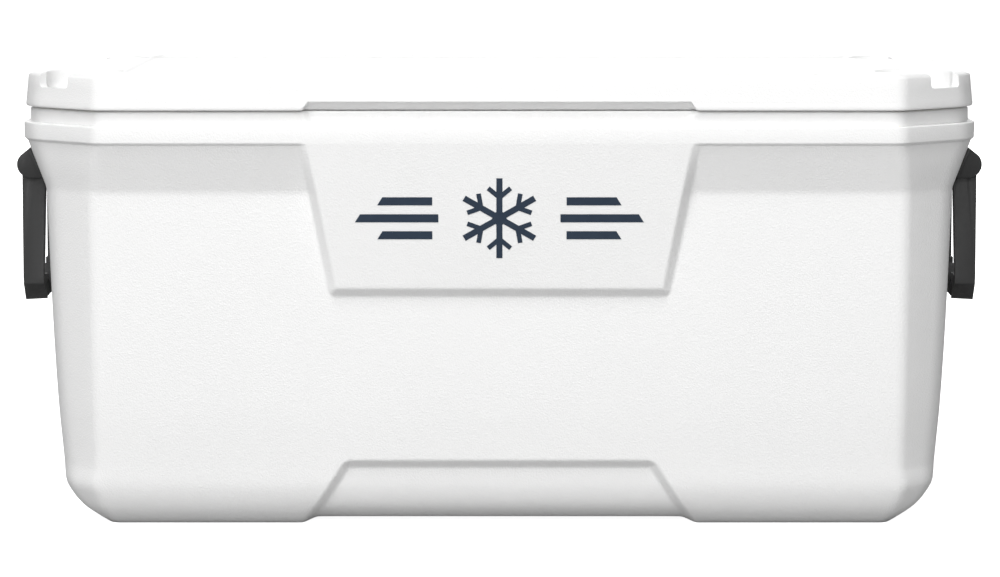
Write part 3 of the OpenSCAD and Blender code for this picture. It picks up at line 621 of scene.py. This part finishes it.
def notch_cutter(sx, sy):
    """Trough from the middle of a cup out through the corner, with a rounded floor and lips."""
    w, f, t = NOTCH_HALF, NOTCH_FLOOR, LID_TOP
    side = [(w - 4, f), (w - 1.8, f + 0.6), (w - 0.5, f + 2), (w, f + 4.5), (w, t - 3), (w + 0.6, t - 1.4),
            (w + 1.8, t - 0.3), (w + 3, t + 0.05), (w + 3, 470)]
    outline = [(-y, z) for y, z in reversed(side)] + side
    n = len(outline)
    ca, sa = sx / math.sqrt(2), sy / math.sqrt(2)
    verts = []
    for d in (0, 90):
        for y, z in outline:
            verts.append((sx * CUP_X + d * ca - y * sa, sy * CUP_Y + d * sa + y * ca, z))
    faces = [tuple(range(n))[::-1], tuple(range(n, 2 * n))]
    faces += [(i, (i + 1) % n, n + (i + 1) % n, n + i) for i in range(n)]
    return make_object("cutter", verts, faces)


def fix_normals(obj):
    bm = bmesh.new()
    bm.from_mesh(obj.data)
    bmesh.ops.recalc_face_normals(bm, faces=bm.faces)
    bm.to_mesh(obj.data)
    bm.free()


cutters = hinge_cutters(405, LID_TOP - 7)
for sx in (-1, 1):
    for sy in (-1, 1):
        cutters.append(cup_cutter(sx, sy))
        notch = notch_cutter(sx, sy)
        fix_normals(notch)
        cutters.append(notch)
carve(lid_obj, cutters)
drop_caps(lid_obj)
thicken(lid_obj, SKIN, -1)
smooth(lid_obj)
finish_piece(lid_obj, white_shell, "lid", "shell_white", "lid_top_shell")

# ---- tub ------------------------------------------------------------------------------------
MOUTH_X, MOUTH_Y, TUB_X, TUB_Y, TUB_Z, LINER = 433.0, 185.0, 407.0, 159.0, 36.0, 2.5
# Place of the crowded columns on skins with no feature edge, and the fillet of their corners
PLAIN_LINE, INNER_FILLET = 190.0, 14.0
tub_controls = [
    [TUB_Z, TUB_X - 60, TUB_Y - 60, 20, 8, 0, 1],
    [TUB_Z, TUB_X - 1.2, TUB_Y - 1.2, 33, 9, 9.0, 7],
    [120.0, 413.0, 165.2, 36, 9, 0, 1],
    [FLARE_BOTTOM, MOUTH_X - 5, MOUTH_Y - 5, 42, 10, 30.0, 4],
    [NECK_TOP, MOUTH_X, MOUTH_Y, 46, 10, 5.0, 6],
    [NECK_TOP, MOUTH_X + 12, MOUTH_Y + 12, 56, 11, 0, 1],
    [NECK_TOP, HALF_X - NECK_IN - SKIN - 0.4, HALF_Y - NECK_IN - FINGER_IN - SKIN, 76, 12, 0, 1],
]
tub = Skin("tub", rounded_rows(tub_controls, lambda z: PLAIN_LINE), fillet=INNER_FILLET)
for i, f in enumerate(tub.faces):
    tub.faces[i] = f[::-1]
tub.ladder(0, True)
tub_obj = tub.build()
thicken(tub_obj, LINER, -1)
spout_hole = [(0, 380), (11, 380), (11, 450), (0, 450)]
carve(tub_obj, [lathe_cutter(spout_hole, (0, 0, DRAIN_Z), "x", 48)])
smooth(tub_obj)
finish_piece(tub_obj, white_smooth, "chest", "liner_white", "inner_liner")

# ---- underside of the lid -------------------------------------------------------------------
PLUG_Z, PLUG_GAP, PLATE = LID_BOTTOM - 13.0, 6.0, 3.0
plate_controls = [
    [PLUG_Z, 340.0, 100.0, 20, 6, 0, 1],
    [PLUG_Z, MOUTH_X - PLUG_GAP - 6, MOUTH_Y - PLUG_GAP - 6, 40, 9, 4.0, 5],
    [LID_BOTTOM, MOUTH_X - PLUG_GAP, MOUTH_Y - PLUG_GAP, 44, 10, 2.5, 4],
    [LID_BOTTOM, MOUTH_X + 14, MOUTH_Y + 10, 60, 11, 0, 1],
    [LID_BOTTOM, LID_X - SKIN - 1.5, LID_Y - GRIP_IN - SKIN, 74, 12, 0, 1],
]
plate = Skin("lid_plate", rounded_rows(plate_controls, lambda z: PLAIN_LINE), fillet=INNER_FILLET)
plate.ladder(0, False)
plate_obj = plate.build()
thicken(plate_obj, PLATE, -1)
smooth(plate_obj)
finish_piece(plate_obj, white_smooth, "lid", "liner_white", "lid_bottom_shell")


# ---- CAD pieces with eased edges ------------------------------------------------------------
BEVEL_ANGLE, EASED_SMOOTH_ANGLE = 30, 35


def eased(node, width, segments, material, body, slot):
    """Copy of a CAD node with rounded edges, which stands for the node."""
    bm = bmesh.new()
    bm.from_mesh(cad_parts[node].data)
    bmesh.ops.remove_doubles(bm, verts=bm.verts, dist=0.000002)
    bmesh.ops.dissolve_limit(bm, angle_limit=math.radians(0.8), verts=bm.verts, edges=bm.edges)
    mesh = bpy.data.meshes.new(node + "_eased")
    bm.to_mesh(mesh)
    bm.free()
    obj = bpy.data.objects.new(node + "_eased", mesh)
    scene.collection.objects.link(obj)
    mod = obj.modifiers.new("ease", "BEVEL")
    mod.width = width * MM
    mod.segments = segments
    mod.limit_method = "ANGLE"
    mod.angle_limit = math.radians(BEVEL_ANGLE)
    mod.harden_normals = False
    bake(obj)
    smooth(obj, EASED_SMOOTH_ANGLE)
    return finish_piece(obj, material, body, slot, node)


for end in ("left", "right"):
    eased("handle_bail_" + end, 2.2, 3, dark_plastic, "handle_" + end, "handle_dark")
    for place in ("front", "rear"):
        eased(f"handle_bracket_{end}_{place}", 0.8, 2, dark_plastic, "chest", "handle_dark")
for node, width, material, body, slot in (
    ("handle_pivot_pins", 0.5, steel, "chest", "steel"),
    ("handle_bracket_screws", 0.3, steel, "chest", "steel"),
    ("hinge_body_leaves", 0.5, white_trim, "chest", "hinge_white"),
    ("hinge_lid_leaves", 0.5, white_trim, "lid", "hinge_white"),
    ("hinge_pins", 0.4, steel, "chest", "steel"),
    ("hinge_body_screws", 0.3, steel, "chest", "steel"),
    ("hinge_lid_screws", 0.3, steel, "lid", "steel"),
    ("drain_spout", 0.5, white_smooth, "chest", "liner_white"),
    ("drain_nut", 0.5, white_smooth, "chest", "liner_white"),
    ("drain_gasket", 0.3, seal_rubber, "chest", "seal_rubber"),
    ("drain_cap", 0.4, white_trim, "drain_cap", "hinge_white"),
    ("drain_cap_seal", 0.2, seal_rubber, "drain_cap", "seal_rubber"),
    ("drain_tether", 0.3, seal_rubber, "chest", "seal_rubber"),
):
    eased(node, width, 2, material, body, slot)
for node, material in (("foam_core", foam_mat), ("lid_foam", foam_mat), ("front_decal", navy)):
    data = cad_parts[node].data
    data.materials.clear()
    data.materials.append(material)


# ---- hand grips -----------------------------------------------------------------------------
# Power of the grip's rounded-square section: 2 would be round
SQUARENESS = 3.4


def hand_grip(end):
    """Soft sleeve with raised rings and swollen ends, round the cross bar."""
    lo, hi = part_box("handle_grip_" + end)
    lo, hi = Vector(lo) / MM, Vector(hi) / MM
    cx, cz = (lo.x + hi.x) / 2, (lo.z + hi.z) / 2
    rx, rz, half = (hi.x - lo.x) / 2, (hi.z - lo.z) / 2, (hi.y - lo.y) / 2
    profile = [(0.0, 0.30), (0.0, 0.86), (0.4, 0.93), (1.4, 0.985),
               (3.0, 1.0), (7.0, 1.0), (8.0, 0.985), (9.0, 0.93)]
    pitch = 5.0
    count = int((2 * half - 24) / pitch)
    start = half - count * pitch / 2
    for i in range(count):
        s = start + i * pitch
        profile += [(s + 0.3, 0.93), (s + 0.9, 0.955), (s + 2.5, 0.97), (s + 4.1, 0.955), (s + 4.7, 0.93)]
    profile += [(2 * half - d, r) for d, r in reversed(profile[:8])]
    steps, verts, faces = 48, [], []
    for d, r in profile:
        for i in range(steps):
            t = 2 * math.pi * i / steps
            c, s = math.cos(t), math.sin(t)
            k = (abs(c) ** SQUARENESS + abs(s) ** SQUARENESS) ** (-1 / SQUARENESS)
            verts.append((cx + rx * r * k * c, -half + d, cz + rz * r * k * s))
    n = len(profile)
    for j in range(n - 1):
        for i in range(steps):
            k = (i + 1) % steps
            faces.append((j * steps + i, j * steps + k, (j + 1) * steps + k, (j + 1) * steps + i))
    faces.append(tuple(range(steps))[::-1])
    faces.append(tuple((n - 1) * steps + i for i in range(steps)))
    obj = make_object("grip_sleeve_" + end, verts, faces)
    fix_normals(obj)
    smooth(obj, 40)
    return finish_piece(obj, grip_rubber, "handle_" + end, "grip_dark", "handle_grip_" + end)


for end in ("left", "right"):
    hand_grip(end)


# ---- floor, light and camera ----------------------------------------------------------------
FLOOR_X, FLOOR_FRONT, FLOOR_BACK = 60000, -30000, 90000
FLOOR_BOUNCE, FLOOR_GLOW = 0.36, 0.92


def floor():
    """Pale floor. The camera sees it white, and everything else sees it as a mid grey, so it
    throws back less light than a real white floor would."""
    corners = [(-FLOOR_X, FLOOR_FRONT, 0), (FLOOR_X, FLOOR_FRONT, 0),
               (FLOOR_X, FLOOR_BACK, 0), (-FLOOR_X, FLOOR_BACK, 0)]
    obj = make_object("floor", corners, [(0, 1, 2, 3)])
    m = Nodes("floor_pale", Roughness=0.9)
    pale = m.ramp(m.noise(0.8, 3.0), "Fac", [(0.2, (0.86, 0.86, 0.86)), (0.8, (0.88, 0.88, 0.88))])
    seen = m.tree.nodes.new("ShaderNodeLightPath")
    tone = m.tree.nodes.new("ShaderNodeMix")
    tone.data_type = "RGBA"
    tone.inputs["A"].default_value = (FLOOR_BOUNCE, FLOOR_BOUNCE, FLOOR_BOUNCE, 1)
    m.link(seen, "Is Camera Ray", tone, "Factor")
    m.tree.links.new(pale.outputs["Color"], tone.inputs["B"])
    m.tree.links.new(tone.outputs["Result"], m.shader.inputs["Base Color"])
    m.shader.inputs["Emission Color"].default_value = (1, 1, 1, 1)
    m.to_shader(m.maths("MULTIPLY", seen, "Is Camera Ray", FLOOR_GLOW), "Value", "Emission Strength")
    obj.data.materials.append(m.mat)


def area_light(name, azimuth, elevation, distance, size, power):
    """Soft square light aimed at the middle. Azimuth 0 stands in front and 90 at the +X end."""
    data = bpy.data.lights.new(name, "AREA")
    data.energy = power
    data.size = size
    obj = bpy.data.objects.new(name, data)
    a, e = math.radians(azimuth), math.radians(elevation)
    back = Vector((math.sin(a) * math.cos(e), -math.cos(a) * math.cos(e), math.sin(e)))
    obj.location = Vector((0, 0, 0.25)) + back * distance
    obj.rotation_euler = (-back).to_track_quat("-Z", "Y").to_euler()
    scene.collection.objects.link(obj)


floor()
area_light("key_left", -28, 37, 9.0, 3.0, 272)
area_light("key_right", 8, 37, 9.0, 3.0, 217)
area_light("high", -8, 62, 9.0, 3.0, 287)
area_light("low", -8, 12, 9.0, 3.0, 131)
area_light("rear", 180, 9, 6.0, 4.0, 120)

# The sky lights the scene at SKY_LIGHT, and the camera sees it white
SKY_LIGHT = 0.296
world = bpy.data.worlds.new("studio")
world.use_nodes = True
sky = world.node_tree
sky_path = sky.nodes.new("ShaderNodeLightPath")
sky_level = sky.nodes.new("ShaderNodeMapRange")
sky_level.inputs["To Min"].default_value = SKY_LIGHT
sky_level.inputs["To Max"].default_value = 1.0
sky.links.new(sky_path.outputs["Is Camera Ray"], sky_level.inputs["Value"])
sky.links.new(sky_level.outputs["Result"], sky.nodes["Background"].inputs["Strength"])
sky.nodes["Background"].inputs["Color"].default_value = (1, 1, 1, 1)
scene.world = world
scene.view_settings.view_transform = "Standard"

camera = bpy.data.cameras.new("camera")
camera.sensor_width = 36
camera.lens = 146.6
camera.clip_end = 400
cam_obj = bpy.data.objects.new("camera", camera)
cam_obj.location = (0.0006, -4.2070, 0.6477)
cam_obj.rotation_euler = (math.radians(84.2), 0, 0)
scene.collection.objects.link(cam_obj)
scene.camera = cam_obj
